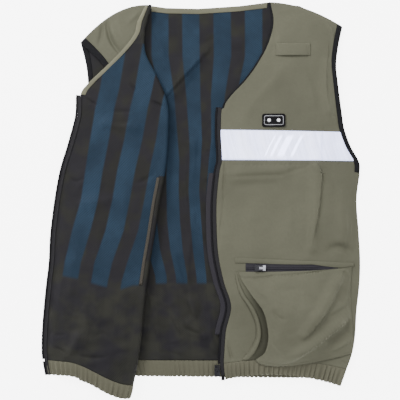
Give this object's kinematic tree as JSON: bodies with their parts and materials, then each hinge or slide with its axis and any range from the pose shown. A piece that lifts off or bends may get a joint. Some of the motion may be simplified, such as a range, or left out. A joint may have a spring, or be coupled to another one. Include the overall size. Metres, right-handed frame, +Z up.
{
  "type": "cooling vest",
  "caption": "Sleeveless zip-front cooling vest lying on its back, one front folded open to show the striped mesh lining, with a bellows pocket and reflective chest band.",
  "frame": {"origin": "centre of the overall box on the plane that the back rests on", "axes": "+X to the wearer's left side, +Y to the collar, +Z up from the back"},
  "size_m": [0.5312, 0.6582, 0.0354],
  "materials": {
    "shell_olive": "matt woven polyester, olive grey",
    "lining_mesh": "spacer mesh, charcoal with blue stripes",
    "trim_black": "black knitted binding",
    "seam_brown": "matt woven tape",
    "reflective_silver": "silver reflective tape",
    "zip_black": "black zip tape and coil",
    "plate_rubber": "black moulded rubber",
    "slider_metal": "dark nickel",
    "key_white": "clear white lens"
  },
  "bodies": {
    "vest": {"back_shell": "shell_olive", "back_lining": "lining_mesh", "back_hem": "shell_olive", "back_neck_facing": "shell_olive", "right_arm_binding_back": "trim_black", "left_arm_binding_back": "trim_black", "left_front_shell": "shell_olive", "left_front_hem": "shell_olive", "left_neck_piping": "trim_black", "left_arm_binding_front": "trim_black", "reflective_tape": "reflective_silver", "chest_loop": "shell_olive", "badge_plate": "plate_rubber", "badge_bezel": "slider_metal", "badge_light_left": "key_white", "badge_light_right": "key_white", "left_zip_tape": "zip_black", "left_zip_teeth": "zip_black", "left_zip_guard": "zip_black", "front_zip_slider": "slider_metal", "front_zip_box": "zip_black", "pocket_welt": "shell_olive", "pocket_bag": "shell_olive", "pocket_zip": "zip_black", "pocket_zip_slider": "slider_metal", "right_front_shell": "shell_olive", "right_front_lining": "lining_mesh", "right_front_hem": "shell_olive", "right_neck_facing": "shell_olive", "right_arm_binding_front": "trim_black", "right_zip_tape": "zip_black", "right_zip_teeth": "zip_black", "right_zip_pin": "zip_black", "seam_tape": "seam_brown"},
    "front_pull": {"front_zip_pull": "slider_metal"},
    "pocket_pull": {"pocket_zip_pull": "slider_metal"}
  },
  "joints": [
    {"name": "front_pull_swing", "type": "hinge", "parent": "vest", "child": "front_pull", "pos_m": [0.02719, -0.28026, 0.01266], "axis": [-1, 0, 0], "range_deg": [0, 150]},
    {"name": "pocket_pull_swing", "type": "hinge", "parent": "vest", "child": "pocket_pull", "pos_m": [0.10153, -0.11282, 0.02203], "axis": [0, 1, 0], "range_deg": [0, 150]}
  ]
}
